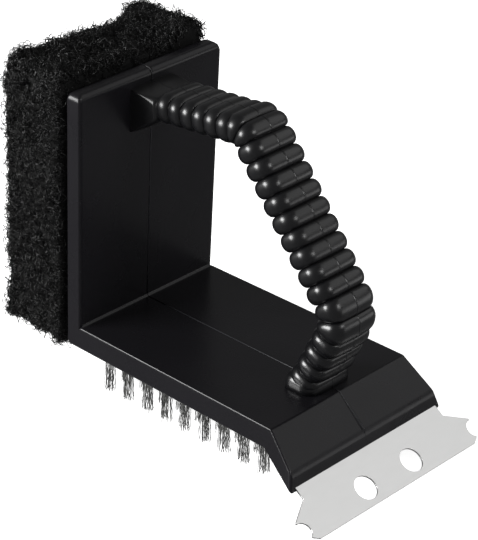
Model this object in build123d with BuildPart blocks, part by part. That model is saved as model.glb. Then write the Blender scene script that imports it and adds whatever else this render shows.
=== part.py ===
"""Three-sided grill cleaning brush: a hollow moulded body with a bellows grip, a field of steel
bristles under its deck, a steel scraper blade in its nose and a scouring pad on its back.

Millimetres. +X points to the scraper, +Y to the left of someone pushing it that way, +Z up.
The origin is on the ground under the middle of the brush, which stands on its bristle tips and
on the front edge of the blade.
"""

import os
from math import cos, radians, sin, tan

from build123d import *

os.makedirs("parts", exist_ok=True)

# ---- Driving dimensions ----

# Body: a flat deck with an upright at its back and a wedge-shaped nose at its front
deck_run = 130.5  # from the upright's front face to the top of the nose slope
deck_thickness = 12.6
deck_rear_half_width = 48.5
deck_front_half_width = 50.0
upright_height = 128.0  # above the deck's top face
upright_thickness = 9.8
upright_top_half_width = 50.0
top_corner_radius = 5.5
top_front_radius = 5.0
top_rear_radius = 2.0
heel_radius = 3.5  # the lower rear corner, seen from the side
body_wall = 2.6

nose_slope_run = 17.5  # sloping top face, measured along X
nose_slope_drop = 15.4
nose_lip_run = 2.6  # steep front face below the slope
nose_lip_drop = 9.1
nose_undercut = 23.5  # sloping underside, measured along X
nose_crease_half_width = 54.4
nose_lip_half_width = 57.0

# Grip: its centre line is three straight runs joined by two bends
grip_start_height = 113.3  # above the deck, where it leaves the upright's cavity
grip_top_bend = (70.0, 120.8)  # from the upright's front face, and above the deck
grip_front_bend = (134.1, 42.8)
grip_foot = (112.2, -4.8)
grip_bend_radius = 10.0
top_rib_half_width = 15.6
top_rib_half_depth = 8.3
corner_rib_half_depth = 7.2  # less than the bend's radius, so that the ribs clear its centre
long_rib_half_width = 16.2
long_rib_half_depth = 9.2
rib_corner_radius = 6.0
rib_edge_radius = 3.1
rib_overlap = 0.5
first_rib_distance = 20.5  # of the first rib's centre, from the upright's front face
top_rib_pitch = 7.9
top_rib_count = 6
corner_rib_pitch = 5.2
corner_rib_count = 3
long_rib_pitch = 9.0
long_rib_count = 14
grip_bore_width = 20.0
grip_bore_depth = 4.6
grip_bore_corner = 2.0

root_block_bottom = 96.5  # above the deck, at the upright
root_block_top = 121.5
root_block_nose = 109.5  # height of its underside where the ribs begin
root_block_length = 19.0
root_block_half_width = 15.0
foot_block_length = 22.6
foot_block_width = 33.0
foot_block_corner = 6.0
foot_block_height = 10.0
foot_block_distance = 115.0  # of its centre, from the upright's front face

# Brush plate and its tufts of steel wire
plate_thickness = 6.0
plate_margin = 2.6  # from the tufts' edges to the plate's edge
plate_clearance = 0.2
tuft_columns = 9
tuft_rows = 7
tuft_pitch_x = 13.2
tuft_pitch_y = 12.0
first_tuft_distance = 9.7  # of the first column, from the upright's front face
tuft_root_radius = 2.75
tuft_tip_radius = 3.4
tuft_free_length = 25.1
tuft_clearance = 0.05
tuft_hole_depth = 4.6
staple_bite = 0.6  # how far each end of a staple cuts into the wall of its hole
staple_thickness = 0.5
staple_height = 1.6
staple_depth = 3.9  # of the staple's top edge, above the plate's underside

# Screws that hold the brush plate
plate_screw_radius = 1.25
plate_screw_head_radius = 2.8
plate_screw_head_height = 1.5
plate_screw_hole_radius = 1.6
plate_screw_tip_gap = 0.8  # from the screw's tip to the end of its pilot hole
screw_pilot_clearance = 0.05
screw_boss_radius = 3.6
pilot_skin = 1.6  # plastic left above the blind pilot hole

# Scraper blade
blade_thickness = 1.0
blade_angle = 33.4  # below the horizontal
blade_ledge = 1.3  # from the lip's bottom edge up to the blade's middle plane
tang_length = 14.0
tang_half_width = 40.0
slot_clearance = 0.1
slot_mouth = 2.0  # how far the slot is cut past the lip's middle, so that it opens all the way
neck_half_width = 52.8
neck_gap = 0.8  # from the lip to the shoulders that stop the blade
neck_length = 5.3
shoulder_reach = 13.5
shoulder_half_width = 65.5
notch_bottom_half_width = 60.2
notch_bottom_reach = 19.2
notch_end_half_width = 62.8
notch_end_reach = 23.0
front_edge_half_width = 58.8
hole_radius = 6.4
hole_spacing = 34.5
hole_reach = 16.1

# Screws that hold the blade
blade_screw_radius = 1.4
blade_screw_head_radius = 3.0
blade_screw_head_height = 1.8
blade_screw_spacing = 60.0
blade_screw_depth = 8.0  # behind the lip, along the blade
blade_screw_grip = 4.2  # length of thread above the blade
spot_face_radius = 3.3
spot_face_floor = 1.4  # plastic between the blade and the screw's head
blade_screw_clearance = 0.1
blade_screw_tip_gap = 0.5

# Scouring pad and its glue
pad_thickness = 42.0
pad_half_width = 51.5
pad_bottom = -13.5  # below the deck's top face
pad_top = 133.0
pad_edge_radius = 5.0
glue_thickness = 1.2
glue_half_width = 44.0
glue_bottom = -8.0
glue_top = 122.0

# ---- Places that follow from them ----

deck_bottom = tuft_free_length
deck_top = deck_bottom + deck_thickness
upright_top = deck_top + upright_height
nose_lip_bottom = deck_top - nose_slope_drop - nose_lip_drop
slope = radians(blade_angle)

nose_run = nose_slope_run + nose_lip_run
blade_half = blade_thickness / 2
blade_drop = nose_lip_bottom + blade_ledge - blade_half * cos(slope)
blade_reach = blade_drop / sin(slope)  # the lower front edge touches the ground
blade_run = blade_drop / tan(slope) + blade_half * sin(slope)
back_depth = pad_thickness + glue_thickness + upright_thickness
overall_length = back_depth + deck_run + nose_run + blade_run

front_x = -overall_length / 2 + back_depth  # the upright's front face
back_x = front_x - upright_thickness
glue_x = back_x - glue_thickness
slope_x = front_x + deck_run
crease_x = slope_x + nose_slope_run
lip_x = crease_x + nose_lip_run
undercut_x = lip_x - nose_undercut

blade_normal = (sin(slope), 0, cos(slope))
blade_plane = Plane(
    origin=(lip_x, 0, nose_lip_bottom + blade_ledge), x_dir=(0, -1, 0), z_dir=blade_normal
)
blade_screw_places = [(-blade_screw_spacing / 2, -blade_screw_depth),
                      (blade_screw_spacing / 2, -blade_screw_depth)]

staple_length = 2 * (tuft_root_radius + tuft_clearance + staple_bite)
staple_bottom = deck_bottom + staple_depth - staple_height
tuft_span_x = (tuft_columns - 1) * tuft_pitch_x
tuft_span_y = (tuft_rows - 1) * tuft_pitch_y
first_tuft_x = front_x + first_tuft_distance
plate_x = first_tuft_x + tuft_span_x / 2
plate_length = tuft_span_x + 2 * (tuft_root_radius + plate_margin)
plate_width = tuft_span_y + 2 * (tuft_root_radius + plate_margin)
plate_top = deck_bottom + plate_thickness
plate_screw_span_x = tuft_span_x - tuft_pitch_x
plate_screw_span_y = tuft_span_y - tuft_pitch_y
plate_screw_length = deck_thickness - pilot_skin - plate_screw_tip_gap


# ---- Body moulding, whole, before it is cut on its seam ----


def rib_ring(half_width, half_depth, length):
    """One ring of the bellows grip: a rounded slab whose two rims are rounded over."""
    with BuildPart() as ring:
        with BuildSketch():
            RectangleRounded(2 * half_width, 2 * half_depth, rib_corner_radius)
        extrude(amount=length / 2, both=True)
        rims = ring.faces().filter_by(Axis.Z).edges()
        fillet(rims, min(rib_edge_radius, 0.42 * length))
    return ring.part


def grip_point(place):
    """A point of the grip's centre line, from its distance and height above the deck."""
    return (front_x + place[0], deck_top + place[1])


grip_start = (front_x - upright_thickness / 2, deck_top + grip_start_height)
with BuildLine(Plane.XZ) as grip_path:
    FilletPolyline(
        grip_start,
        grip_point(grip_top_bend),
        grip_point(grip_front_bend),
        grip_point(grip_foot),
        radius=grip_bend_radius,
    )
grip_wire = grip_path.wires()[0]


def grip_plane(distance):
    """The plane across the grip at a distance along its centre line, x across the grip."""
    point = grip_wire.position_at(distance, PositionMode.LENGTH)
    tangent = grip_wire.tangent_at(distance, PositionMode.LENGTH)
    return Plane(origin=point, x_dir=(0, 1, 0), z_dir=tangent)


top_slope = (grip_point(grip_top_bend)[1] - grip_start[1]) / (
    grip_point(grip_top_bend)[0] - grip_start[0]
)
first_rib = (first_rib_distance + upright_thickness / 2) * (1 + top_slope**2) ** 0.5
first_corner_rib = first_rib + top_rib_count * top_rib_pitch - (top_rib_pitch - corner_rib_pitch) / 2
first_long_rib = (
    first_corner_rib
    + corner_rib_count * corner_rib_pitch
    + (long_rib_pitch - corner_rib_pitch) / 2
)
rib_stretches = [
    (first_rib, top_rib_pitch, top_rib_count, top_rib_half_width, top_rib_half_depth),
    (first_corner_rib, corner_rib_pitch, corner_rib_count, top_rib_half_width, corner_rib_half_depth),
    (first_long_rib, long_rib_pitch, long_rib_count, long_rib_half_width, long_rib_half_depth),
]

with BuildPart() as upright:
    with BuildSketch(Plane.XZ) as upright_side:
        with BuildLine():
            Polyline(
                (back_x, deck_bottom),
                (front_x, deck_bottom),
                (front_x, upright_top),
                (back_x, upright_top),
                close=True,
            )
        make_face()
        fillet(upright_side.vertices().sort_by_distance((front_x, upright_top, 0))[0], top_front_radius)
        fillet(upright_side.vertices().sort_by_distance((back_x, upright_top, 0))[0], top_rear_radius)
        fillet(upright_side.vertices().sort_by_distance((back_x, deck_bottom, 0))[0], heel_radius)
    extrude(amount=upright_top_half_width, both=True)
    with BuildSketch(Plane.YZ.offset(back_x)) as upright_front:
        with BuildLine():
            Polyline(
                (-deck_rear_half_width, deck_bottom),
                (-deck_rear_half_width, deck_top),
                (-upright_top_half_width, upright_top),
                (upright_top_half_width, upright_top),
                (deck_rear_half_width, deck_top),
                (deck_rear_half_width, deck_bottom),
                close=True,
            )
        make_face()
        fillet(upright_front.vertices().group_by(Axis.Y)[-1], top_corner_radius)
    extrude(amount=upright_thickness, mode=Mode.INTERSECT)

with BuildPart() as moulding:
    # Deck and nose: their side outline, trimmed to a plan that widens towards the lip
    with BuildSketch(Plane.XZ):
        with BuildLine():
            Polyline(
                (front_x, deck_bottom),
                (undercut_x, deck_bottom),
                (lip_x, nose_lip_bottom),
                (crease_x, deck_top - nose_slope_drop),
                (slope_x, deck_top),
                (front_x, deck_top),
                close=True,
            )
        make_face()
    extrude(amount=nose_lip_half_width, both=True)
    with BuildSketch(Plane.XY.offset(nose_lip_bottom)):
        with BuildLine():
            Polyline(
                (front_x, -deck_rear_half_width),
                (slope_x, -deck_front_half_width),
                (crease_x, -nose_crease_half_width),
                (lip_x, -nose_lip_half_width),
                (lip_x, nose_lip_half_width),
                (crease_x, nose_crease_half_width),
                (slope_x, deck_front_half_width),
                (front_x, deck_rear_half_width),
                close=True,
            )
        make_face()
    extrude(amount=deck_top - nose_lip_bottom, mode=Mode.INTERSECT)
    add(upright.part)

    # Root block where the grip leaves the upright
    with BuildSketch(Plane.XZ):
        with BuildLine():
            Polyline(
                (front_x, deck_top + root_block_bottom),
                (front_x + root_block_length, deck_top + root_block_nose),
                (front_x + root_block_length, deck_top + root_block_top),
                (front_x, deck_top + root_block_top),
                close=True,
            )
        make_face()
    extrude(amount=root_block_half_width, both=True)
    # Foot block where it meets the deck
    with BuildSketch(Plane.XY.offset(deck_top)):
        with Locations((front_x + foot_block_distance, 0)):
            RectangleRounded(foot_block_length, foot_block_width, foot_block_corner)
    extrude(amount=foot_block_height)
    # Bellows ribs, each placed across the centre line
    for start, pitch, count, half_width, half_depth in rib_stretches:
        ring = rib_ring(half_width, half_depth, pitch + rib_overlap)
        for rib in range(count):
            with Locations(grip_plane(start + rib * pitch).location):
                add(ring)

    # Cavity of deck and upright
    with BuildSketch(Plane.XZ):
        with BuildLine():
            Polyline(
                (back_x + body_wall, deck_bottom + body_wall),
                (undercut_x - body_wall, deck_bottom + body_wall),
                (undercut_x - body_wall, deck_top - body_wall),
                (front_x - body_wall, deck_top - body_wall),
                (front_x - body_wall, upright_top - body_wall - top_front_radius),
                (back_x + body_wall, upright_top - body_wall - top_front_radius),
                close=True,
            )
        make_face()
    extrude(amount=deck_rear_half_width - body_wall, both=True, mode=Mode.SUBTRACT)
    # Bore of the grip, which joins the two cavities
    with BuildSketch(grip_plane(0)):
        RectangleRounded(grip_bore_width, grip_bore_depth, grip_bore_corner)
    sweep(path=grip_wire, mode=Mode.SUBTRACT)

    # Opening for the brush plate, and the bosses that its screws bite into
    with BuildSketch(Plane.XY.offset(deck_bottom)):
        with Locations((plate_x, 0)):
            Rectangle(plate_length + 2 * plate_clearance, plate_width + 2 * plate_clearance)
    extrude(amount=body_wall, mode=Mode.SUBTRACT)
    with BuildSketch(Plane.XY.offset(plate_top)):
        with Locations((plate_x, 0)):
            with GridLocations(plate_screw_span_x, plate_screw_span_y, 2, 2):
                Circle(screw_boss_radius)
    extrude(amount=deck_top - body_wall - plate_top)
    with BuildSketch(Plane.XY.offset(plate_top)):
        with Locations((plate_x, 0)):
            with GridLocations(plate_screw_span_x, plate_screw_span_y, 2, 2):
                Circle(plate_screw_radius + screw_pilot_clearance)
    extrude(amount=deck_top - pilot_skin - plate_top, mode=Mode.SUBTRACT)

    # Slot for the blade, and its screws' pilot holes and spot faces
    with BuildSketch(blade_plane.offset(-blade_half - slot_clearance)):
        with Locations((0, (slot_mouth - tang_length - slot_clearance) / 2)):
            Rectangle(
                2 * (tang_half_width + slot_clearance), tang_length + slot_clearance + slot_mouth
            )
    extrude(amount=blade_thickness + 2 * slot_clearance, mode=Mode.SUBTRACT)
    with BuildSketch(blade_plane):
        with Locations(*blade_screw_places):
            Circle(blade_screw_radius + blade_screw_clearance)
    extrude(amount=blade_screw_grip + blade_screw_tip_gap, mode=Mode.SUBTRACT)
    with BuildSketch(blade_plane):
        with Locations(*blade_screw_places):
            Circle(blade_screw_radius + blade_screw_clearance)
    extrude(amount=-nose_lip_drop, mode=Mode.SUBTRACT)
    with BuildSketch(blade_plane.offset(-blade_half - spot_face_floor)):
        with Locations(*blade_screw_places):
            Circle(spot_face_radius)
    extrude(amount=-nose_lip_drop, mode=Mode.SUBTRACT)

with BuildPart() as body_left_half:
    add(moulding.part)
    split(bisect_by=Plane.XZ, keep=Keep.BOTTOM)
body_left_half.part.label = "body_left_half"
export_step(body_left_half.part, "parts/body_left_half.step")

with BuildPart() as body_right_half:
    add(moulding.part)
    split(bisect_by=Plane.XZ, keep=Keep.TOP)
body_right_half.part.label = "body_right_half"
export_step(body_right_half.part, "parts/body_right_half.step")


# ---- Brush plate ----

with BuildPart() as brush_plate:
    with BuildSketch(Plane.XY.offset(deck_bottom)):
        with Locations((plate_x, 0)):
            Rectangle(plate_length, plate_width)
    extrude(amount=plate_thickness)
    with BuildSketch(Plane.XY.offset(deck_bottom)):
        with Locations((plate_x, 0)):
            with GridLocations(tuft_pitch_x, tuft_pitch_y, tuft_columns, tuft_rows):
                Circle(tuft_root_radius + tuft_clearance)
    extrude(amount=tuft_hole_depth, mode=Mode.SUBTRACT)
    with BuildSketch(Plane.XY.offset(staple_bottom)):
        with Locations((plate_x, 0)):
            with GridLocations(tuft_pitch_x, tuft_pitch_y, tuft_columns, tuft_rows):
                Rectangle(staple_thickness, staple_length)
    extrude(amount=staple_height, mode=Mode.SUBTRACT)
    with Locations((plate_x, 0, deck_bottom)):
        with GridLocations(plate_screw_span_x, plate_screw_span_y, 2, 2):
            Cylinder(
                plate_screw_hole_radius,
                plate_thickness,
                align=(Align.CENTER, Align.CENTER, Align.MIN),
                mode=Mode.SUBTRACT,
            )
            Cone(
                plate_screw_head_radius + plate_clearance,
                plate_screw_hole_radius,
                plate_screw_head_height + plate_clearance,
                align=(Align.CENTER, Align.CENTER, Align.MIN),
                mode=Mode.SUBTRACT,
            )
brush_plate.part.label = "brush_plate"
export_step(brush_plate.part, "parts/brush_plate.step")

with BuildPart() as plate_screws:
    with Locations((plate_x, 0, deck_bottom)):
        with GridLocations(plate_screw_span_x, plate_screw_span_y, 2, 2):
            Cone(
                plate_screw_head_radius,
                plate_screw_radius,
                plate_screw_head_height,
                align=(Align.CENTER, Align.CENTER, Align.MIN),
            )
            Cylinder(
                plate_screw_radius,
                plate_screw_length,
                align=(Align.CENTER, Align.CENTER, Align.MIN),
            )
plate_screws.part.label = "plate_screws"
export_step(plate_screws.part, "parts/plate_screws.step")


# ---- Bristles: a row is nine tufts of crimped wire, each folded over a staple ----

for row in range(tuft_rows):
    row_y = (row - (tuft_rows - 1) / 2) * tuft_pitch_y
    with BuildPart() as bristle_row:
        with Locations((plate_x, row_y, deck_bottom)):
            with GridLocations(tuft_pitch_x, 1, tuft_columns, 1):
                Cone(
                    tuft_tip_radius,
                    tuft_root_radius,
                    tuft_free_length,
                    align=(Align.CENTER, Align.CENTER, Align.MAX),
                )
                Cylinder(
                    tuft_root_radius,
                    tuft_hole_depth,
                    align=(Align.CENTER, Align.CENTER, Align.MIN),
                )
        with BuildSketch(Plane.XY.offset(staple_bottom)):
            with Locations((plate_x, row_y)):
                with GridLocations(tuft_pitch_x, 1, tuft_columns, 1):
                    Rectangle(staple_thickness, staple_length)
        extrude(amount=staple_height, mode=Mode.SUBTRACT)
    bristle_row.part.label = f"bristle_row_{row + 1}"
    export_step(bristle_row.part, f"parts/bristle_row_{row + 1}.step")

    with BuildPart() as staple_row:
        with BuildSketch(Plane.XY.offset(staple_bottom)):
            with Locations((plate_x, row_y)):
                with GridLocations(tuft_pitch_x, 1, tuft_columns, 1):
                    Rectangle(staple_thickness, staple_length)
        extrude(amount=staple_height)
    staple_row.part.label = f"anchor_staples_{row + 1}"
    export_step(staple_row.part, f"parts/anchor_staples_{row + 1}.step")


# ---- Scraper blade and its screws ----

with BuildPart() as scraper_blade:
    with BuildSketch(blade_plane.offset(-blade_half)) as outline:
        with BuildLine():
            left = Polyline(
                (-tang_half_width, neck_gap),
                (-neck_half_width, neck_gap),
                (-neck_half_width, neck_length),
                (-shoulder_half_width, shoulder_reach),
            )
            left_notch = ThreePointArc(
                left @ 1,
                (-notch_bottom_half_width, notch_bottom_reach),
                (-notch_end_half_width, notch_end_reach),
            )
            front = Polyline(
                left_notch @ 1,
                (-front_edge_half_width, blade_reach),
                (front_edge_half_width, blade_reach),
                (notch_end_half_width, notch_end_reach),
            )
            right_notch = ThreePointArc(
                front @ 1,
                (notch_bottom_half_width, notch_bottom_reach),
                (shoulder_half_width, shoulder_reach),
            )
            Polyline(
                right_notch @ 1,
                (neck_half_width, neck_length),
                (neck_half_width, neck_gap),
                (tang_half_width, neck_gap),
                (tang_half_width, -tang_length),
                (-tang_half_width, -tang_length),
                (-tang_half_width, neck_gap),
            )
        make_face()
        with Locations((-hole_spacing / 2, hole_reach), (hole_spacing / 2, hole_reach)):
            Circle(hole_radius, mode=Mode.SUBTRACT)
        with Locations(*blade_screw_places):
            Circle(blade_screw_radius + blade_screw_clearance, mode=Mode.SUBTRACT)
    extrude(amount=blade_thickness)
scraper_blade.part.label = "scraper_blade"
export_step(scraper_blade.part, "parts/scraper_blade.step")

with BuildPart() as blade_screws:
    with BuildSketch(blade_plane.offset(-blade_half - spot_face_floor)):
        with Locations(*blade_screw_places):
            Circle(blade_screw_head_radius)
    extrude(amount=-blade_screw_head_height)
    with BuildSketch(blade_plane.offset(-blade_half - spot_face_floor)):
        with Locations(*blade_screw_places):
            Circle(blade_screw_radius)
    extrude(amount=blade_half + spot_face_floor + blade_screw_grip)
blade_screws.part.label = "blade_screws"
export_step(blade_screws.part, "parts/blade_screws.step")


# ---- Scouring pad and the glue that holds it ----

with BuildPart() as pad_glue:
    with BuildSketch(Plane.YZ.offset(glue_x)):
        with Locations((0, deck_top + (glue_bottom + glue_top) / 2)):
            Rectangle(2 * glue_half_width, glue_top - glue_bottom)
    extrude(amount=glue_thickness)
pad_glue.part.label = "pad_glue"
export_step(pad_glue.part, "parts/pad_glue.step")

with BuildPart() as scouring_pad:
    with BuildSketch(Plane.YZ.offset(glue_x)):
        with Locations((0, deck_top + (pad_bottom + pad_top) / 2)):
            RectangleRounded(2 * pad_half_width, pad_top - pad_bottom, pad_edge_radius)
    extrude(amount=-pad_thickness)
    fillet(scouring_pad.faces().sort_by(Axis.X)[0].edges(), pad_edge_radius - 1)
scouring_pad.part.label = "scouring_pad"
export_step(scouring_pad.part, "parts/scouring_pad.step")
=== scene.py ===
"""Grill cleaning brush: a black moulded body with a bellows grip, steel bristles under its deck,
a notched scraper blade in its nose and a coarse scouring pad glued to its back."""
import math

import bmesh
import bpy
import numpy as np
from mathutils import Matrix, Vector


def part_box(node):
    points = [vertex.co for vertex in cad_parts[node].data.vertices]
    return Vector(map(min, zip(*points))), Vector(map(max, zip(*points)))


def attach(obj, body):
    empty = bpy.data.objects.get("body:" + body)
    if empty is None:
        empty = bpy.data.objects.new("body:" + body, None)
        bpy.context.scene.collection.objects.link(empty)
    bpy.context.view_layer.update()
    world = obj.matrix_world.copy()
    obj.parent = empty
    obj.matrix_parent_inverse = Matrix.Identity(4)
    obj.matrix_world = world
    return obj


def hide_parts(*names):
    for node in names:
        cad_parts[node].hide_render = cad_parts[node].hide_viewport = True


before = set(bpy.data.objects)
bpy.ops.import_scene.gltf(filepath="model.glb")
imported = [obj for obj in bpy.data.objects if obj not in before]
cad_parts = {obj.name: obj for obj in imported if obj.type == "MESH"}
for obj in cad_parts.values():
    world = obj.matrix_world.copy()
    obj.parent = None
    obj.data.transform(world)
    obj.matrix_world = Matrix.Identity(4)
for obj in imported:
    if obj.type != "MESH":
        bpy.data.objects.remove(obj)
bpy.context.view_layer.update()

# ---- Camera, floor and light ----
# The brush stands on a pale floor and is seen from above its right front side, through a long lens.
# The glue and the brush plate give the back of the upright and the underside of the deck.

mm = 0.001
deck_thickness = 12.6 * mm
upright_thickness = 9.8 * mm
back_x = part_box("pad_glue")[1].x
front_x = back_x + upright_thickness
deck_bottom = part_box("brush_plate")[0].z
deck_top = deck_bottom + deck_thickness


def view_axes(azimuth, elevation, roll):
    """Right, up and backward directions of a camera turned by azimuth about the vertical, raised by
    elevation and rolled about its own axis, all in degrees."""
    turn, rise, tilt = np.radians([azimuth, elevation, roll])
    back = np.array(
        [np.sin(turn) * np.cos(rise), -np.cos(turn) * np.cos(rise), np.sin(rise)]
    )
    level = np.cross([0, 0, 1], back)
    level /= np.linalg.norm(level)
    above = np.cross(back, level)
    right = np.cos(tilt) * level + np.sin(tilt) * above
    up = -np.sin(tilt) * level + np.cos(tilt) * above
    return right, up, back


right, up, back = view_axes(41.35, 28.80, 2.47)
shift, lift, distance_back = 47.34 * mm, 13.16 * mm, 1274.5 * mm
deck_corner = np.array([front_x, 0, deck_top])
eye = deck_corner + shift * right + lift * up + distance_back * back
lens = bpy.data.cameras.new("camera")
lens.sensor_width = 36
lens.lens = 164.7
lens.clip_end = 20
camera = bpy.data.objects.new("camera", lens)
camera.matrix_world = Matrix(
    [[right[i], up[i], back[i], eye[i]] for i in range(3)] + [[0, 0, 0, 1]]
)
bpy.context.scene.collection.objects.link(camera)
bpy.context.scene.camera = camera


def node_material(name, color, roughness, metallic=0.0, specular=0.5):
    """A Principled material with its flat values set on the shader's own sockets."""
    material = bpy.data.materials.new(name)
    material.use_nodes = True
    shader = material.node_tree.nodes["Principled BSDF"]
    shader.inputs["Base Color"].default_value = (*color, 1)
    shader.inputs["Roughness"].default_value = roughness
    shader.inputs["Metallic"].default_value = metallic
    shader.inputs["Specular IOR Level"].default_value = specular
    return material


def mesh_piece(name, points, faces, material, smooth=True):
    """A mesh object at the origin from an (n, 3) array of points and lists of corner numbers."""
    mesh = bpy.data.meshes.new(name)
    mesh.from_pydata(np.asarray(points, float).tolist(), [], [list(map(int, f)) for f in faces])
    mesh.polygons.foreach_set("use_smooth", np.full(len(mesh.polygons), smooth))
    mesh.materials.append(material)
    mesh.update()
    piece = bpy.data.objects.new(name, mesh)
    bpy.context.scene.collection.objects.link(piece)
    return piece


floor_paper = node_material("floor_paper", (0.9, 0.9, 0.9), 0.9, specular=0.1)
floor_shader = floor_paper.node_tree.nodes["Principled BSDF"]
floor_shader.inputs["Emission Color"].default_value = (1, 1, 1, 1)
floor_shader.inputs["Emission Strength"].default_value = 0.84
floor_reach = 4.0
floor = mesh_piece(
    "floor",
    [
        (x * floor_reach, y * floor_reach, 0)
        for x, y in ((-1, -1), (1, -1), (1, 1), (-1, 1))
    ],
    [(0, 1, 2, 3)],
    floor_paper,
)
floor.visible_glossy = False


def softbox(name, place, aim, size, watts, color=(1, 1, 1)):
    """A rectangular area light at a place, turned to face an aim point."""
    light = bpy.data.lights.new(name, "AREA")
    light.shape = "RECTANGLE"
    light.size = size[0]
    light.size_y = size[1]
    light.energy = watts
    light.color = color
    lamp = bpy.data.objects.new(name, light)
    toward = np.array(place, float) - np.array(aim, float)
    toward /= np.linalg.norm(toward)
    side = np.cross([0.001, 0, 1], toward)
    side /= np.linalg.norm(side)
    over = np.cross(toward, side)
    lamp.matrix_world = Matrix(
        [[side[i], over[i], toward[i], place[i]] for i in range(3)] + [[0, 0, 0, 1]]
    )
    bpy.context.scene.collection.objects.link(lamp)
    return lamp


middle = (0, 0, 0.08)
softbox("back_light", (0.6, 1.0, 1.1), middle, (1.3, 1.1), 4.2)
softbox("side_light", (-0.75, -1.15, 0.5), middle, (0.8, 0.6), 46)
softbox("nose_light", (1.1, 0.15, 0.9), middle, (0.42, 0.42), 5.5)
softbox("low_light", (1.15, 1.0, 0.12), middle, (1.3, 0.4), 3.2)
world = bpy.data.worlds.new("studio")
world.use_nodes = True
world.node_tree.nodes["Background"].inputs["Color"].default_value = (1, 1, 1, 1)
world.node_tree.nodes["Background"].inputs["Strength"].default_value = 0.2
bpy.context.scene.world = world
bpy.context.scene.view_settings.view_transform = "Standard"

# ---- Body ----
# Deck, upright and nose are one hollow black moulding in two halves that meet on the middle plane.
# Satin polypropylene. Each edge is rounded by its own radius, the upright's far top corner most.


def plastic(name, color, roughness, ripple, grain, specular=0.25):
    """Black moulded plastic: slow ripples of the mould and a fine skin, both as bump, and faint
    patches where the skin is duller."""
    material = node_material(name, color, roughness, specular=specular)
    nodes, links = material.node_tree.nodes, material.node_tree.links
    shader = nodes["Principled BSDF"]
    place = nodes.new("ShaderNodeTexCoord")
    slow = nodes.new("ShaderNodeTexNoise")
    slow.inputs["Scale"].default_value = 38
    slow.inputs["Detail"].default_value = 2
    fine = nodes.new("ShaderNodeTexNoise")
    fine.inputs["Scale"].default_value = 900
    fine.inputs["Detail"].default_value = 3
    patches = nodes.new("ShaderNodeTexNoise")
    patches.inputs["Scale"].default_value = 22
    patches.inputs["Detail"].default_value = 5
    for texture in (slow, fine, patches):
        links.new(place.outputs["Object"], texture.inputs["Vector"])
    wave = nodes.new("ShaderNodeBump")
    wave.inputs["Strength"].default_value = ripple
    wave.inputs["Distance"].default_value = 0.002
    links.new(slow.outputs["Fac"], wave.inputs["Height"])
    skin = nodes.new("ShaderNodeBump")
    skin.inputs["Strength"].default_value = grain
    skin.inputs["Distance"].default_value = 0.0002
    links.new(fine.outputs["Fac"], skin.inputs["Height"])
    links.new(wave.outputs["Normal"], skin.inputs["Normal"])
    links.new(skin.outputs["Normal"], shader.inputs["Normal"])
    dull = nodes.new("ShaderNodeMapRange")
    dull.inputs["From Min"].default_value = 0.35
    dull.inputs["From Max"].default_value = 0.65
    dull.inputs["To Min"].default_value = roughness - 0.04
    dull.inputs["To Max"].default_value = roughness + 0.05
    links.new(patches.outputs["Fac"], dull.inputs["Value"])
    links.new(dull.outputs["Result"], shader.inputs["Roughness"])
    return material


body_plastic = plastic("body_plastic", (0.005, 0.0047, 0.0058), 0.27, 0.1, 0.25, 0.22)

deck_run = 130.5 * mm
upright_height = 128 * mm
slope_run, slope_drop = 17.5 * mm, 15.4 * mm
lip_run, lip_drop = 2.6 * mm, 9.1 * mm
undercut = 23.5 * mm
slope_x = front_x + deck_run
crease_x = slope_x + slope_run
lip_x = crease_x + lip_run
crease_z = deck_top - slope_drop
lip_z = crease_z - lip_drop
upright_top = deck_top + upright_height

# Corners of the side outline: place along X, height, half width, and the radius of the edge there
body_outline = [
    (back_x, deck_bottom, 48.5 * mm, 3.5 * mm),
    (lip_x - undercut, deck_bottom, 49.96 * mm, 1 * mm),
    (lip_x, lip_z, 57.0 * mm, 1.0 * mm),
    (crease_x, crease_z, 54.4 * mm, 2.4 * mm),
    (slope_x, deck_top, 50.0 * mm, 0.9 * mm),
    (front_x, deck_top, 48.5 * mm, 1.5 * mm),
    (front_x, upright_top, 50.0 * mm, 3.6 * mm),
    (back_x, upright_top, 50.0 * mm, 3.6 * mm),
]
side_radii = {
    (0, 1): 1.6 * mm,
    (1, 2): 1.2 * mm,
    (2, 3): 1.8 * mm,
    (3, 4): 1.2 * mm,
    (4, 5): 0.6 * mm,
    (5, 6): 2.6 * mm,
    (7, 0): 3.0 * mm,
}
seam_radius = 0.12 * mm
plate_gap = 0.2 * mm
plate_low, plate_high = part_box("brush_plate")


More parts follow.
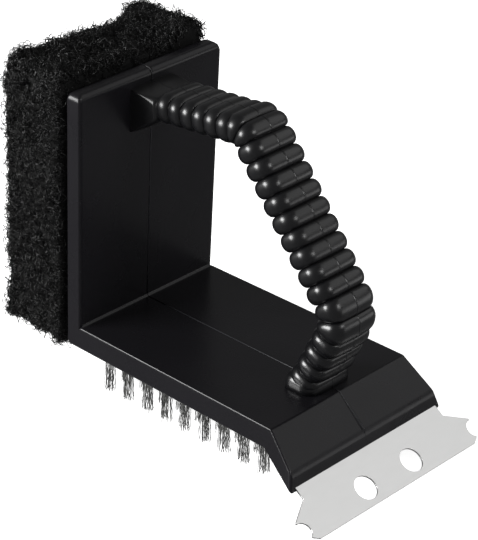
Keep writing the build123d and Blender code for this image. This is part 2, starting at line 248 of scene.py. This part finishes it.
def body_half(name, sign, corner_radius):
    """One half of the body: eight flat outline faces from the seam to the side, three side faces, a
    face on the seam plane, and the recess under the deck that holds the brush plate. A bevel whose
    width is each edge's own weight rounds it."""
    seam = [(x, 0, z) for x, z, _, _ in body_outline]
    side = [(x, sign * w, z) for x, z, w, _ in body_outline]
    x0, x1 = plate_low.x - plate_gap, plate_high.x + plate_gap
    edge_y = sign * (plate_high.y + plate_gap)
    recess = [
        (x, y, z)
        for z in (deck_bottom, plate_high.z)
        for x, y in ((x0, 0), (x1, 0), (x1, edge_y), (x0, edge_y))
    ]
    points = seam + side + recess
    count = len(body_outline)
    faces = [(i, (i + 1) % count, (i + 1) % count + count, i + count) for i in range(1, count)]
    a, b, c, d, e, f, g, h = range(2 * count, 2 * count + 8)
    faces += [(0, a, d, c, b, 1, 1 + count, count)]
    faces += [(a, e, h, d), (d, h, g, c), (c, g, f, b), (e, f, g, h)]
    faces += [(count, count + 1, count + 4, count + 5)]
    faces += [(count + 1, count + 2, count + 3), (count + 1, count + 3, count + 4)]
    faces += [(count, count + 5, count + 6, count + 7)]
    faces += [(0, 7, 6, 5, 4, 3, 2, 1, b, f, e, a)]
    piece = mesh_piece(name, points, faces, body_plastic)
    radii = {}
    for i, corner in enumerate(body_outline):
        after = (i + 1) % count
        radii[frozenset((i, i + count))] = corner[3]
        radii[frozenset((i, after))] = seam_radius
        radii[frozenset((i + count, after + count))] = side_radii.get((i, after), corner_radius)
    weights = piece.data.attributes.new("bevel_weight_edge", "FLOAT", "EDGE")
    values = [
        radii.get(frozenset(edge.vertices), 0) / corner_radius for edge in piece.data.edges
    ]
    weights.data.foreach_set("value", values)
    recalculate_normals(piece.data)
    rounding = piece.modifiers.new("rounded_edges", "BEVEL")
    rounding.limit_method = "WEIGHT"
    rounding.width = corner_radius
    rounding.segments = 6
    rounding.harden_normals = True
    rounding.use_clamp_overlap = False
    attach(piece, "root")
    return piece


def recalculate_normals(mesh):
    """Turns every face of a closed mesh outwards."""
    work = bmesh.new()
    work.from_mesh(mesh)
    bmesh.ops.recalc_face_normals(work, faces=work.faces)
    work.to_mesh(mesh)
    work.free()


body_left = body_half("body_shell_left", 1, 5.2 * mm)
body_right = body_half("body_shell_right", -1, 4.0 * mm)
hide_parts("body_left_half")
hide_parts("body_right_half")

# The seam bead is the body's own plastic, given a lighter base colour: a painted highlight along
# the seam line.
seam_plastic_painted_highlight = plastic("seam_plastic_painted_highlight", (0.014, 0.014, 0.016), 0.38, 0.1, 0.4, 0.3)
seam_half_width, seam_height = 0.42 * mm, 0.2 * mm


def rounded_path(corners, radii, steps=8):
    """Points of a polyline whose corners are arcs: each arc starts the radius times the tangent of
    half the turn before its corner, and turns about a centre one radius to the inside."""
    corners = np.array(corners, float)
    path = [corners[0]]
    for before, corner, after, radius in zip(corners[:-2], corners[1:-1], corners[2:], radii):
        arrive, leave = corner - before, after - corner
        arrive, leave = arrive / np.linalg.norm(arrive), leave / np.linalg.norm(leave)
        turn = math.atan2(arrive[0] * leave[1] - arrive[1] * leave[0], arrive @ leave)
        inward = np.array([-arrive[1], arrive[0]]) * math.copysign(1, turn)
        start = corner - arrive * radius * math.tan(abs(turn) / 2)
        centre = start + inward * radius
        for swing in np.linspace(0, abs(turn), steps):
            across, ahead = -inward * math.cos(swing), arrive * math.sin(swing)
            path.append(centre + radius * (across + ahead))
    return np.array(path + [corners[-1]])


def seam_bead(name, path, half_width):
    """A bead of flash on the seam: a low ridge that follows a path in the XZ plane, its crest above
    the surface and its foot a little below it. Half width may change from point to point."""
    tangent = np.gradient(path, axis=0)
    tangent /= np.linalg.norm(tangent, axis=1, keepdims=True)
    outward = np.stack([tangent[:, 1], -tangent[:, 0]], axis=1)
    half_width = np.broadcast_to(half_width, len(path))
    columns = []
    for share, lift in ((-1, -0.1 * mm), (-0.5, 0.6 * seam_height), (0, seam_height),
                        (0.5, 0.6 * seam_height), (1, -0.1 * mm), (0, -0.4 * mm)):
        place = path + outward * lift
        columns.append(np.stack([place[:, 0], share * half_width, place[:, 1]], axis=1))
    points = np.stack(columns, axis=1)
    number = np.arange(points.shape[0] * points.shape[1]).reshape(points.shape[:2])
    after = np.roll(number, -1, axis=1)
    faces = np.stack([number[:-1], after[:-1], after[1:], number[1:]], axis=-1).reshape(-1, 4)
    ends = [number[0].tolist(), number[-1][::-1].tolist()]
    bead = mesh_piece(name, points.reshape(-1, 3), faces.tolist() + ends, seam_plastic_painted_highlight)
    recalculate_normals(bead.data)
    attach(bead, "root")
    return bead


nose_and_deck = rounded_path(
    [
        (crease_x - 1.2 * mm, crease_z + 1.05 * mm),
        (slope_x, deck_top),
        (front_x + 0.2 * mm, deck_top),
    ],
    [0.9 * mm],
)
pinch = np.full(len(nose_and_deck), seam_half_width)
pinch[0] = 1.1 * mm
seam_bead("seam_bead_deck", nose_and_deck[::-1], pinch[::-1])
upright_and_rim = rounded_path(
    [(front_x, deck_top), (front_x, upright_top), (back_x, upright_top)], [3.6 * mm], 12
)
seam_bead("seam_bead_upright", upright_and_rim[::-1], seam_half_width)

# ---- Grip ----
# A hollow bellows tube moulded in one with the body: a block on the upright, six close rings, two
# fanned over the bend, fifteen larger rings down to the foot. Glossier than the body.

grip_plastic = plastic("grip_plastic", (0.003, 0.003, 0.0035), 0.3, 0.04, 0.1, 0.42)

grip_corners = np.array([(-4.9, 113.3), (70.0, 120.8), (134.1, 42.8), (112.2, -4.8)]) * mm
bend_radius = np.array([10, 16]) * mm
legs = np.diff(grip_corners, axis=0)
leg_length = np.linalg.norm(legs, axis=1)
leg_heading = np.arctan2(legs[:, 1], legs[:, 0])
turns = -np.diff(leg_heading)
setback = bend_radius * np.tan(turns / 2)
first_bend = leg_length[0] - setback[0]
second_bend = first_bend + bend_radius[0] * turns[0] + leg_length[1] - setback[0] - setback[1]
line_end = second_bend + bend_radius[1] * turns[1] + leg_length[2] - setback[1]


def grip_heading(distance):
    """Direction of the centre line in the XZ plane: three straight runs, and two bends in which the
    heading falls evenly with the distance."""
    first = np.clip((distance - first_bend) / bend_radius[0], 0, turns[0])
    second = np.clip((distance - second_bend) / bend_radius[1], 0, turns[1])
    return leg_heading[0] - first - second


fine_distance = np.linspace(0, line_end, 6000)
fine_heading = grip_heading(fine_distance)
step = fine_distance[1]
fine_x = grip_corners[0, 0] + np.cumsum(np.cos(fine_heading)) * step
fine_z = grip_corners[0, 1] + np.cumsum(np.sin(fine_heading)) * step

top_pitch, corner_pitch, long_pitch = 7.9 * mm, 5.25 * mm, 9.3 * mm
first_top = (20.5 + 4.9) / math.cos(leg_heading[0]) * mm
first_corner = first_top + 6 * top_pitch - (top_pitch - corner_pitch) / 2
first_long = first_corner + 2 * corner_pitch + (long_pitch - corner_pitch) / 2
# Rings: place of the first along the centre line, pitch, count, half width, depth in front of and
# behind the centre line, depth of the groove
ring_runs = [
    (first_top, top_pitch, 6, 15.6 * mm, 8.7 * mm, 7.9 * mm, 2.3 * mm),
    (first_corner, corner_pitch, 2, 16.0 * mm, 9.6 * mm, 6.8 * mm, 2.2 * mm),
    (first_long, long_pitch, 15, 16.2 * mm, 9.2 * mm, 9.2 * mm, 2.9 * mm),
]
ring_steps = 14
front_round, rear_round = 6.4 * mm, 8.2 * mm


def grip_stations():
    """Rows of (x, z, heading, half width, front depth, rear depth, front and rear corner radius)
    from inside the upright to inside the deck. A ring's sizes fall by a half ellipse from its crest
    to its grooves."""
    rows = []
    for x in np.linspace(-3, 16.5, 14) * mm:
        t = np.clip(x / (17 * mm), 0, 1)
        low = 96.5 * mm + 12.0 * mm * t
        high = 121.8 * mm
        middle = 113.8 * mm
        rows.append((x, middle, leg_heading[0] * t, 15 * mm, high - middle, middle - low,
                     (0.5 + 4 * t * t) * mm, (0.6 + 3.4 * t) * mm))
    for start, pitch, count, half_width, front, rear, groove in ring_runs:
        for ring in range(count):
            swing = np.linspace(-np.pi / 2, np.pi / 2, ring_steps)
            distance = start + ring * pitch + pitch / 2 * np.sin(swing)
            inset = groove * (1 - np.cos(swing))
            for d, i in zip(distance, inset):
                x = np.interp(d, fine_distance, fine_x)
                z = np.interp(d, fine_distance, fine_z)
                rows.append((x, z, grip_heading(d), half_width - i, front - i, rear - i,
                             min(front_round, front - 0.8 * mm) - 0.6 * i,
                             min(rear_round, rear - 0.3 * mm) - 0.6 * i))
    down = math.radians(-90)
    foot_rounding = (
        (8.0, 5.0), (7.8, 3.4), (7.1, 2.0), (6.0, 1.0), (4.5, 0.4), (2.5, 0), (-1.0, 0)
    )
    for z, shrink in foot_rounding:
        rows.append((115 * mm, z * mm, down, (16.8 - shrink) * mm, (11.3 - shrink) * mm,
                     (9.6 - shrink) * mm, (7.5 - 0.5 * shrink) * mm, (7.5 - 0.5 * shrink) * mm))
    return np.array(rows)


stations = grip_stations()


def grip_half(name, sign):
    """One half of the grip. Its section is half a rounded rectangle: from the seam along the front,
    round a quarter circle, down the side, round a second quarter and back to the seam, where a low
    ridge of flash stands out. The flat on the seam plane closes it, and a face closes each end. The
    depth is crowned: it falls with the square of the way to the side, by a tenth at the side."""
    ridge_y = np.array([0, 0.25, 0.55, 0.9]) * mm
    ridge_height = np.array([0.22, 0.12, 0.0, 0.0]) * mm
    quarter = np.linspace(0, np.pi / 2, 10)
    x, z, heading, half_width, front, rear, front_r, rear_r = (c[:, None] for c in stations.T)
    flat = np.linspace(0.25, 0.75, 3)
    across = np.hstack([
        np.broadcast_to(ridge_y, (len(stations), 4)),
        (half_width - front_r) * flat,
        half_width - front_r + front_r * np.sin(quarter),
        half_width - rear_r + rear_r * np.cos(quarter),
        (half_width - rear_r) * flat[::-1],
        np.broadcast_to(ridge_y[::-1], (len(stations), 4)),
    ])
    depth = np.hstack([
        front + ridge_height,
        front + 0 * flat,
        front - front_r + front_r * np.cos(quarter),
        -(rear - rear_r) - rear_r * np.sin(quarter),
        -rear + 0 * flat,
        -(rear + ridge_height[::-1]),
    ])
    crown = 0.1
    depth = depth * (1 - crown * (across / half_width) ** 2)
    points = np.stack(
        [front_x + x - depth * np.sin(heading), sign * across,
         deck_top + z + depth * np.cos(heading)], axis=-1)
    rings, columns = points.shape[:2]
    number = np.arange(rings * columns).reshape(rings, columns)
    after = np.roll(number, -1, axis=1)
    faces = np.stack([number[:-1], number[1:], after[1:], after[:-1]], axis=-1).reshape(-1, 4)
    ends = [number[0].tolist(), number[-1][::-1].tolist()]
    piece = mesh_piece(name, points.reshape(-1, 3), faces.tolist() + ends, grip_plastic)
    recalculate_normals(piece.data)
    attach(piece, "root")
    return piece


grip_left = grip_half("grip_shell_left", 1)
grip_right = grip_half("grip_shell_right", -1)
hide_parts("body_left_half")
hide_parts("body_right_half")

# ---- Scraper blade ----
# Stainless sheet, stamped, with two round holes and a hook notch at each end; its tang sits in the
# nose. Lightly brushed across, with the stamped edge just broken.


def brushed_steel(name, color, roughness, stretch):
    """Steel with a fine grain: noise stretched along one axis drives bump and roughness."""
    material = node_material(name, color, roughness, metallic=1.0)
    nodes, links = material.node_tree.nodes, material.node_tree.links
    shader = nodes["Principled BSDF"]
    place = nodes.new("ShaderNodeTexCoord")
    turn = nodes.new("ShaderNodeMapping")
    turn.inputs["Scale"].default_value = stretch
    links.new(place.outputs["Object"], turn.inputs["Vector"])
    grain = nodes.new("ShaderNodeTexNoise")
    grain.inputs["Scale"].default_value = 1
    grain.inputs["Detail"].default_value = 4
    links.new(turn.outputs["Vector"], grain.inputs["Vector"])
    bump = nodes.new("ShaderNodeBump")
    bump.inputs["Strength"].default_value = 0.12
    bump.inputs["Distance"].default_value = 0.00005
    links.new(grain.outputs["Fac"], bump.inputs["Height"])
    links.new(bump.outputs["Normal"], shader.inputs["Normal"])
    shade = nodes.new("ShaderNodeMapRange")
    shade.inputs["To Min"].default_value = roughness - 0.08
    shade.inputs["To Max"].default_value = roughness + 0.1
    links.new(grain.outputs["Fac"], shade.inputs["Value"])
    links.new(shade.outputs["Result"], shader.inputs["Roughness"])
    return material


blade_steel = brushed_steel("blade_steel", (0.62, 0.62, 0.615), 0.34, (900, 120, 900))
blade_slope = math.radians(33.4)
blade_thickness = 1.0 * mm
blade_edge = 0.12 * mm
blade_z = lip_z + 1.3 * mm
blade_length = (blade_z - blade_thickness / 2 * math.cos(blade_slope)) / math.sin(blade_slope)


def arc_through(a, b, c, count):
    """Points from a to c along the circle through a, b and c."""
    (ax, ay), (bx, by), (cx, cy) = a, b, c
    d = 2 * (ax * (by - cy) + bx * (cy - ay) + cx * (ay - by))
    a2, b2, c2 = ax * ax + ay * ay, bx * bx + by * by, cx * cx + cy * cy
    ox = (a2 * (by - cy) + b2 * (cy - ay) + c2 * (ay - by)) / d
    oy = (a2 * (cx - bx) + b2 * (ax - cx) + c2 * (bx - ax)) / d
    angles = np.unwrap([math.atan2(y - oy, x - ox) for x, y in (a, b, c)])
    sweep = np.linspace(angles[0], angles[2], count)
    radius = math.hypot(ax - ox, ay - oy)
    return [(ox + radius * math.cos(s), oy + radius * math.sin(s)) for s in sweep]


def blade_outline():
    """Half the outline from the front edge round the notch to the tang, then its mirror image, as
    millimetres across the blade and down it from the lip."""
    notch = arc_through((62.8, 23.0), (60.2, 19.2), (65.2, 14.2), 14)
    tip = arc_through((65.2, 14.2), (65.6, 13.6), (65.0, 12.9), 6)[1:]
    shoulder_and_tang = [(52.8, 5.3), (52.8, -1.6), (40, -1.6), (40, -14)]
    half = [(58.8, blade_length / mm), *notch, *tip, *shoulder_and_tang]
    return [(x * mm, y * mm) for x, y in half + [(-x, y) for x, y in reversed(half)]]


def add_loop(curve, loop):
    """Adds a closed straight-sided spline to a flat curve."""
    spline = curve.splines.new("POLY")
    spline.points.add(len(loop) - 1)
    flat = np.array([(x, y, 0, 1) for x, y in loop]).ravel()
    spline.points.foreach_set("co", flat)
    spline.use_cyclic_u = True


def blade():
    """The flat outline with its two holes, given its thickness with a broken edge, and laid on the
    sloping plane that leaves the nose just above the lip."""
    curve = bpy.data.curves.new("blade_outline", "CURVE")
    curve.dimensions = "2D"
    curve.fill_mode = "BOTH"
    curve.extrude = blade_thickness / 2 - blade_edge
    curve.bevel_depth = blade_edge
    curve.bevel_resolution = 1
    curve.offset = -blade_edge
    add_loop(curve, blade_outline())
    circle = np.linspace(0, 2 * np.pi, 64, endpoint=False)
    hole_radius, hole_spread, hole_reach = 6.4, 17.25, 16.1
    for side in (-1, 1):
        hole_y = side * hole_spread + hole_radius * np.cos(circle)
        hole = np.stack([hole_y, hole_reach + hole_radius * np.sin(circle)], axis=1)
        add_loop(curve, (hole * mm).tolist())
    flat = bpy.data.objects.new("blade_flat", curve)
    bpy.context.scene.collection.objects.link(flat)
    bpy.context.view_layer.update()
    evaluated = flat.evaluated_get(bpy.context.evaluated_depsgraph_get())
    mesh = bpy.data.meshes.new_from_object(evaluated)
    bpy.data.objects.remove(flat)
    down = (math.cos(blade_slope), 0, -math.sin(blade_slope))
    normal = (math.sin(blade_slope), 0, math.cos(blade_slope))
    mesh.transform(Matrix([
        [0, down[0], normal[0], lip_x],
        [-1, down[1], normal[1], 0],
        [0, down[2], normal[2], blade_z],
        [0, 0, 0, 1],
    ]))
    mesh.materials.clear()
    mesh.materials.append(blade_steel)
    piece = bpy.data.objects.new("scraper_blade_sheet", mesh)
    bpy.context.scene.collection.objects.link(piece)
    return piece


blade_sheet = blade()
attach(blade_sheet, "root")
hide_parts("scraper_blade")

# ---- Bristles ----
# Sixty-three tufts of crimped steel wire, each folded over a staple at the bottom of its hole in
# the brush plate. The wires fan out towards their tips and are cut a little unevenly.


def wire_material(name, dark, light, roughness):
    """Steel wire: a noise drawn out along the wires makes one wire dull and the next one bright."""
    material = node_material(name, (light, light, light), roughness, metallic=1.0)
    nodes, links = material.node_tree.nodes, material.node_tree.links
    place = nodes.new("ShaderNodeTexCoord")
    stretch = nodes.new("ShaderNodeMapping")
    stretch.inputs["Scale"].default_value = (1400, 1400, 60)
    links.new(place.outputs["Object"], stretch.inputs["Vector"])
    streaks = nodes.new("ShaderNodeTexNoise")
    streaks.inputs["Scale"].default_value = 1
    streaks.inputs["Detail"].default_value = 2
    links.new(stretch.outputs["Vector"], streaks.inputs["Vector"])
    sharpen = nodes.new("ShaderNodeMapRange")
    sharpen.inputs["From Min"].default_value = 0.42
    sharpen.inputs["From Max"].default_value = 0.58
    links.new(streaks.outputs["Fac"], sharpen.inputs["Value"])
    shade = nodes.new("ShaderNodeMix")
    shade.data_type = "RGBA"
    shade.inputs["A"].default_value = (dark, dark, dark * 0.97, 1)
    shade.inputs["B"].default_value = (light, light, light * 0.98, 1)
    links.new(sharpen.outputs["Result"], shade.inputs["Factor"])
    links.new(shade.outputs["Result"], nodes["Principled BSDF"].inputs["Base Color"])
    return material


wire_steel = wire_material("wire_steel", 0.16, 0.85, 0.3)
dice = np.random.default_rng(7)
wire_radius = 0.16 * mm
wires_in_tuft = 30
wire_points = 13


def wire_tubes(lines, radius, sides=3):
    """Thin tubes of a few sides along many lines at once: lines is (n, k, 3). Each ring lies across
    two fixed directions that are square to the line's overall run, and a point closes each end."""
    run = lines[:, -1] - lines[:, 0]
    run /= np.linalg.norm(run, axis=1, keepdims=True)
    helper = np.where(np.abs(run[:, 2:]) < 0.9, [[0, 0, 1.0]], [[1.0, 0, 0]])
    one = np.cross(run, helper)
    one /= np.linalg.norm(one, axis=1, keepdims=True)
    two = np.cross(run, one)
    turn = np.arange(sides) * 2 * np.pi / sides
    ring = np.cos(turn)[:, None] * one[:, None] + np.sin(turn)[:, None] * two[:, None]
    count, length = lines.shape[:2]
    radius = np.broadcast_to(radius, (count, length))
    tube = lines[:, :, None] + radius[:, :, None, None] * ring[:, None]
    points = tube.reshape(-1, 3)
    number = np.arange(count * length * sides).reshape(count, length, sides)
    after = np.roll(number, -1, axis=2)
    walls = np.stack([number[:, :-1], after[:, :-1], after[:, 1:], number[:, 1:]], axis=-1)
    caps = np.concatenate([number[:, 0, ::-1], number[:, -1]])
    return points, walls.reshape(-1, 4).tolist() + caps.tolist()


def tuft_wires(centre_x, centre_y):
    """Lines of the wires of one tuft: roots spread evenly over the hole, tips further out, a crimp
    of a few waves across each wire, and tips cut within two millimetres of each other."""
    n = wires_in_tuft
    share = np.sqrt((np.arange(n) + 0.5) / n)
    turn = np.arange(n) * 2.39996 + dice.uniform(0, 6.28)
    root = 2.4 * mm * share[:, None] * np.stack([np.cos(turn), np.sin(turn)], axis=1)
    lean = dice.normal(0, 0.35 * mm, 2)
    tip = root * dice.uniform(1.15, 1.5, (n, 1)) + dice.normal(0, 0.45 * mm, (n, 2)) + lean
    limit = 3.3 * mm
    far = np.linalg.norm(tip, axis=1, keepdims=True)
    tip *= np.minimum(1, limit / far)
    t = np.linspace(0, 1, wire_points)
    flat = root[:, None] + (tip - root)[:, None] * t[None, :, None] ** 1.3
    crimp_turn = dice.uniform(0, np.pi, n)
    crimp = np.stack([np.cos(crimp_turn), np.sin(crimp_turn)], axis=1)
    phase = dice.uniform(0, 6.28, (n, 1))
    wave = 0.28 * mm * np.sin(2 * np.pi * 4.2 * t[None] + phase)
    flat = flat + wave[:, :, None] * crimp[:, None]
    start = deck_bottom + 3 * mm
    end = dice.uniform(0.1, 1.8, n) * mm
    height = start + (end[:, None] - start) * t[None]
    lines = np.concatenate([flat, height[:, :, None]], axis=2)
    return lines + np.array([centre_x, centre_y, 0])


for row in range(1, 8):
    low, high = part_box(f"bristle_row_{row}")
    row_y = (low.y + high.y) / 2
    columns = np.linspace(low.x + 3.4 * mm, high.x - 3.4 * mm, 9)
    lines = np.concatenate([tuft_wires(x, row_y) for x in columns])
    tufts = mesh_piece(f"bristle_wires_{row}", *wire_tubes(lines, wire_radius), wire_steel)
    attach(tufts, "root")
    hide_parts(f"bristle_row_{row}")
    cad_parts[f"anchor_staples_{row}"].data.materials.clear()
    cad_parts[f"anchor_staples_{row}"].data.materials.append(wire_steel)

# ---- Brush plate, screws and glue ----
# The plate is a flat moulding let into the deck; four countersunk screws hold it and two pan-head
# screws hold the blade. A sheet of dark glue holds the pad.

plate_plastic = plastic("plate_plastic", (0.014, 0.014, 0.015), 0.5, 0.05, 0.3)
screw_steel = brushed_steel("screw_steel", (0.6, 0.6, 0.62), 0.25, (500, 500, 500))
glue_film = plastic("glue_film", (0.02, 0.018, 0.016), 0.6, 0.6, 0.6)
for node, finish in (
    ("brush_plate", plate_plastic),
    ("plate_screws", screw_steel),
    ("blade_screws", screw_steel),
    ("pad_glue", glue_film),
):
    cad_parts[node].data.materials.clear()
    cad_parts[node].data.materials.append(finish)

# ---- Scouring pad ----
# A thick block of coarse black nylon web, open and springy, with a ragged cut edge. A lumpy core
# gives its body, and loops of stiff fibre stand out of it all over.


def lattice_noise(points, size, seed):
    """Smooth random values from -1 to 1: a random number at each corner of a cubic lattice of the
    given size, mixed by how near a point is to each of the eight corners of its cube."""
    scaled = points / size
    cell = np.floor(scaled).astype(np.int64)
    part = scaled - cell
    part = part * part * (3 - 2 * part)
    total = np.zeros(len(points))
    for corner in np.ndindex(2, 2, 2):
        key = (cell + corner).astype(np.uint64)
        mixed = key[:, 0] * np.uint64(73856093) ^ key[:, 1] * np.uint64(19349663)
        mixed = mixed ^ key[:, 2] * np.uint64(83492791) ^ np.uint64(seed * 2654435761)
        mixed = (mixed ^ (mixed >> np.uint64(13))) * np.uint64(1274126177)
        value = ((mixed >> np.uint64(8)) % np.uint64(65536)).astype(float) / 32767.5 - 1
        weight = np.prod(np.where(np.array(corner) == 1, part, 1 - part), axis=1)
        total += weight * value
    return total


pad_low = np.array(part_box("scouring_pad")[0])
pad_high = np.array(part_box("scouring_pad")[1])
pad_centre = (pad_low + pad_high) / 2
pad_half = (pad_high - pad_low) / 2
pad_round = 6 * mm


def hump(value, middle, width, height):
    """A smooth rise of the given height about a middle: a bell curve."""
    return height * np.exp(-(((value - middle) / width) ** 2))


def pad_surface(points):
    """Carries points of the pad's box on to its rounded, lumpy surface: the box's corners are
    rounded, and slow swells, lumps and tufts of noise move the surface along its normal. The top
    edge rises and dips across the pad, and the bottom sags next to the body."""
    inner = np.clip(points, pad_low + pad_round, pad_high - pad_round)
    normal = points - inner
    normal /= np.linalg.norm(normal, axis=1, keepdims=True)
    swell = 1.8 * mm * lattice_noise(points, 38 * mm, 1)
    lumps = 1.9 * mm * lattice_noise(points, 8 * mm, 2)
    tufts = 1.7 * mm * lattice_noise(points, 3.2 * mm, 3)
    free = np.clip((pad_high[0] - points[:, 0]) / (8 * mm), 0.1, 1)
    lift = (swell + lumps + tufts) * free - 1.6 * mm
    surface = inner + normal * (pad_round + lift[:, None])
    x, y, z = points.T
    upper = np.clip((z - pad_centre[2]) / pad_half[2], 0, 1) ** 2
    lower = np.clip((pad_centre[2] - z) / pad_half[2], 0, 1) ** 2
    surface[:, 2] += upper * (
        hump(y, 42 * mm, 9 * mm, 4.2 * mm)
        - hump(y, 17 * mm, 11 * mm, 2.4 * mm)
        + hump(y, -45 * mm, 15 * mm, 1.4 * mm)
    )
    surface[:, 2] -= lower * hump(x, pad_high[0], 14 * mm, 3.2 * mm)
    surface[:, 0] -= 1.2 * mm * np.clip((pad_high[0] - x) / (40 * mm), 0, 1)
    return surface, normal


def box_grid(spacing):
    """Points and square faces of the pad's box, each side a grid of about the given spacing, with
    the points that two sides share made one."""
    points, faces, start = [], [], 0
    counts = np.maximum(2, np.round(2 * pad_half / spacing).astype(int))
    for axis in range(3):
        a, b = [i for i in range(3) if i != axis]
        u = np.linspace(pad_low[a], pad_high[a], counts[a] + 1)
        v = np.linspace(pad_low[b], pad_high[b], counts[b] + 1)
        grid_u, grid_v = np.meshgrid(u, v, indexing="ij")
        for end in (pad_low[axis], pad_high[axis]):
            side = np.empty((grid_u.size, 3))
            side[:, a], side[:, b], side[:, axis] = grid_u.ravel(), grid_v.ravel(), end
            number = start + np.arange(grid_u.size).reshape(grid_u.shape)
            corners = (number[:-1, :-1], number[1:, :-1], number[1:, 1:], number[:-1, 1:])
            quads = np.stack(corners, axis=-1)
            flip = (end == pad_high[axis]) != (axis != 1)
            quads = quads.reshape(-1, 4)
            faces.append(quads[:, ::-1] if flip else quads)
            points.append(side)
            start += grid_u.size
    points, faces = np.concatenate(points), np.concatenate(faces)
    merge_distance = 0.01 * mm
    _, first, index = np.unique(
        np.round(points / merge_distance), axis=0, return_index=True, return_inverse=True
    )
    return points[first], index.ravel()[faces]


def fibre_material(name, color, roughness):
    """Black nylon fibre, a little glossy, with slight changes of shade along the web."""
    material = node_material(name, color, roughness, specular=0.22)
    nodes, links = material.node_tree.nodes, material.node_tree.links
    place = nodes.new("ShaderNodeTexCoord")
    shade = nodes.new("ShaderNodeTexNoise")
    shade.inputs["Scale"].default_value = 420
    shade.inputs["Detail"].default_value = 3
    links.new(place.outputs["Object"], shade.inputs["Vector"])
    ramp = nodes.new("ShaderNodeMix")
    ramp.data_type = "RGBA"
    ramp.inputs["A"].default_value = (*[c * 0.1 for c in color], 1)
    ramp.inputs["B"].default_value = (*[c * 2.4 for c in color], 1)
    links.new(shade.outputs["Fac"], ramp.inputs["Factor"])
    links.new(ramp.outputs["Result"], nodes["Principled BSDF"].inputs["Base Color"])
    return material


pad_fibre = fibre_material("pad_fibre", (0.0035, 0.0035, 0.0035), 0.28)
# The core is the same black nylon web as the fibres, but it is coloured darker and duller: painted
# shade in the depths of the web.
pad_core_painted_shade = fibre_material("pad_core", (0.0012, 0.0012, 0.0012), 0.9)

grid_points, grid_faces = box_grid(1.1 * mm)
core_points, _ = pad_surface(grid_points)
core = mesh_piece("pad_core_web", core_points, grid_faces.tolist(), pad_core_painted_shade)
recalculate_normals(core.data)
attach(core, "root")
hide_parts("scouring_pad")

fibre_total = 24000
fibre_points = 7


def pad_fibres(count):
    """Lines of fibres that arch out of the core's surface: each starts and ends near the surface,
    runs along it in a random direction and rises by a half sine, with a sideways curl."""
    span = 2 * pad_half
    area = np.array([span[1] * span[2], span[0] * span[2], span[0] * span[1]])
    side_share = np.array([area[0], 0, area[1], area[1], area[2], area[2]])
    side_share[1] = 0.12 * area[0]
    side = dice.choice(6, count, p=side_share / side_share.sum())
    points = pad_low + dice.random((count, 3)) * span
    axis = side // 2
    rows = np.arange(count)
    points[rows, axis] = np.where(side % 2 == 0, pad_low[axis], pad_high[axis])
    surface, normal = pad_surface(points)
    along = dice.normal(size=(count, 3))
    along -= (along * normal).sum(axis=1, keepdims=True) * normal
    along /= np.linalg.norm(along, axis=1, keepdims=True)
    across = np.cross(normal, along)
    length = dice.uniform(3, 9, (count, 1, 1)) * mm
    rise = dice.gamma(1.8, 1.1, (count, 1, 1)) * mm
    rise = np.minimum(rise, 6.0 * mm)
    curl = dice.normal(0, 1.3, (count, 1, 1)) * mm
    t = np.linspace(0, 1, fibre_points)[None, :, None]
    twist = dice.uniform(0, 6.28, (count, 1, 1))
    lines = (
        surface[:, None]
        + (t - 0.5) * length * along[:, None]
        + (np.sin(np.pi * t) * rise - 0.8 * mm) * normal[:, None]
        + (curl * np.sin(2 * np.pi * t + twist)) * across[:, None]
    )
    return lines


fibre_lines = pad_fibres(fibre_total)
fibre_radius = dice.uniform(0.12, 0.24, (fibre_total, 1)) * mm
batches = 5
for batch in range(batches):
    part = slice(batch, None, batches)
    web = mesh_piece(
        f"pad_fibres_{batch + 1}", *wire_tubes(fibre_lines[part], fibre_radius[part]), pad_fibre
    )
    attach(web, "root")
